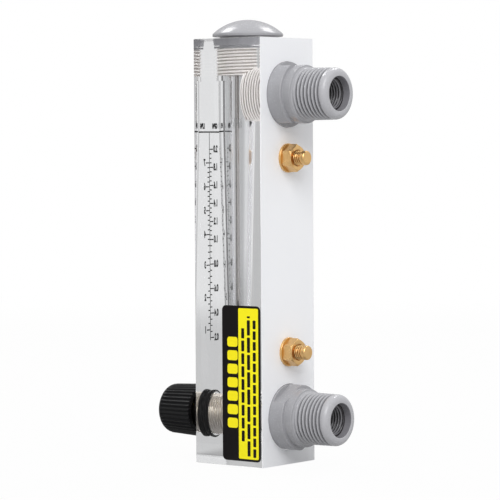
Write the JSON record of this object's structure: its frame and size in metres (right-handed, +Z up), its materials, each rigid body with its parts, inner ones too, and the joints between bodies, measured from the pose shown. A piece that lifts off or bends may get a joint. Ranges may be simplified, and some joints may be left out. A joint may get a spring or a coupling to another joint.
{
  "type": "panel-mount acrylic rotameter",
  "caption": "Clear acrylic block flow meter with a tapered bore, sliding float, printed scale, front needle valve, threaded rear connectors and panel studs.",
  "frame": {"origin": "centre of the acrylic block's bottom face", "axes": "+Z up along the block and its bore, -Y the front with the valve knob and scale, +Y the back with the connectors and studs, +X the side with the label"},
  "size_m": [0.0353, 0.0899, 0.184],
  "materials": {
    "clear_acrylic": "polished clear acrylic",
    "white_vinyl": "smooth white sheet",
    "black_print": "printed ink",
    "black_label": "printed film",
    "yellow_label": "printed film",
    "grey_plastic": "satin moulded plastic",
    "black_rubber": "soft seal rubber",
    "steel": "turned stainless steel",
    "float_steel": "turned stainless steel",
    "brass": "bright turned brass",
    "plated_brass": "turned and plated",
    "black_plastic": "satin moulded plastic"
  },
  "bodies": {
    "housing": {"acrylic_block": "clear_acrylic", "white_back_sheet": "white_vinyl", "flow_scale": "black_print", "side_label": "black_label", "side_label_panel": "yellow_label", "top_plug": "grey_plastic", "top_plug_seal": "black_rubber", "guide_rod": "steel", "upper_float_stop": "grey_plastic", "lower_rod_holder": "grey_plastic", "outlet_connector": "grey_plastic", "inlet_connector": "grey_plastic", "outlet_o_ring": "black_rubber", "inlet_o_ring": "black_rubber", "upper_stud": "brass", "lower_stud": "brass", "upper_nut": "brass", "lower_nut": "brass", "upper_washer": "brass", "lower_washer": "brass", "valve_bonnet": "plated_brass", "bonnet_seal": "black_rubber"},
    "float": {"float": "float_steel"},
    "stem_ring": {"stem_o_ring": "black_rubber"},
    "valve_spindle": {"valve_stem": "steel", "valve_knob": "black_plastic"}
  },
  "joints": [
    {"name": "float_rise", "type": "slide", "parent": "housing", "child": "float", "axis": [0, 0, 1], "range_m": [0, 0.0859]},
    {"name": "valve_travel", "type": "slide", "parent": "housing", "child": "stem_ring", "axis": [0, -1, 0], "range_m": [0, 0.003]},
    {"name": "valve_turn", "type": "hinge", "parent": "stem_ring", "child": "valve_spindle", "pos_m": [0, -0.03, 0.0197], "axis": [0, -1, 0], "range_deg": [0, 1440]}
  ],
  "couplings": [
    {"joint": "valve_travel", "follows": "valve_turn", "m_per_rad": 0.00011937}
  ]
}
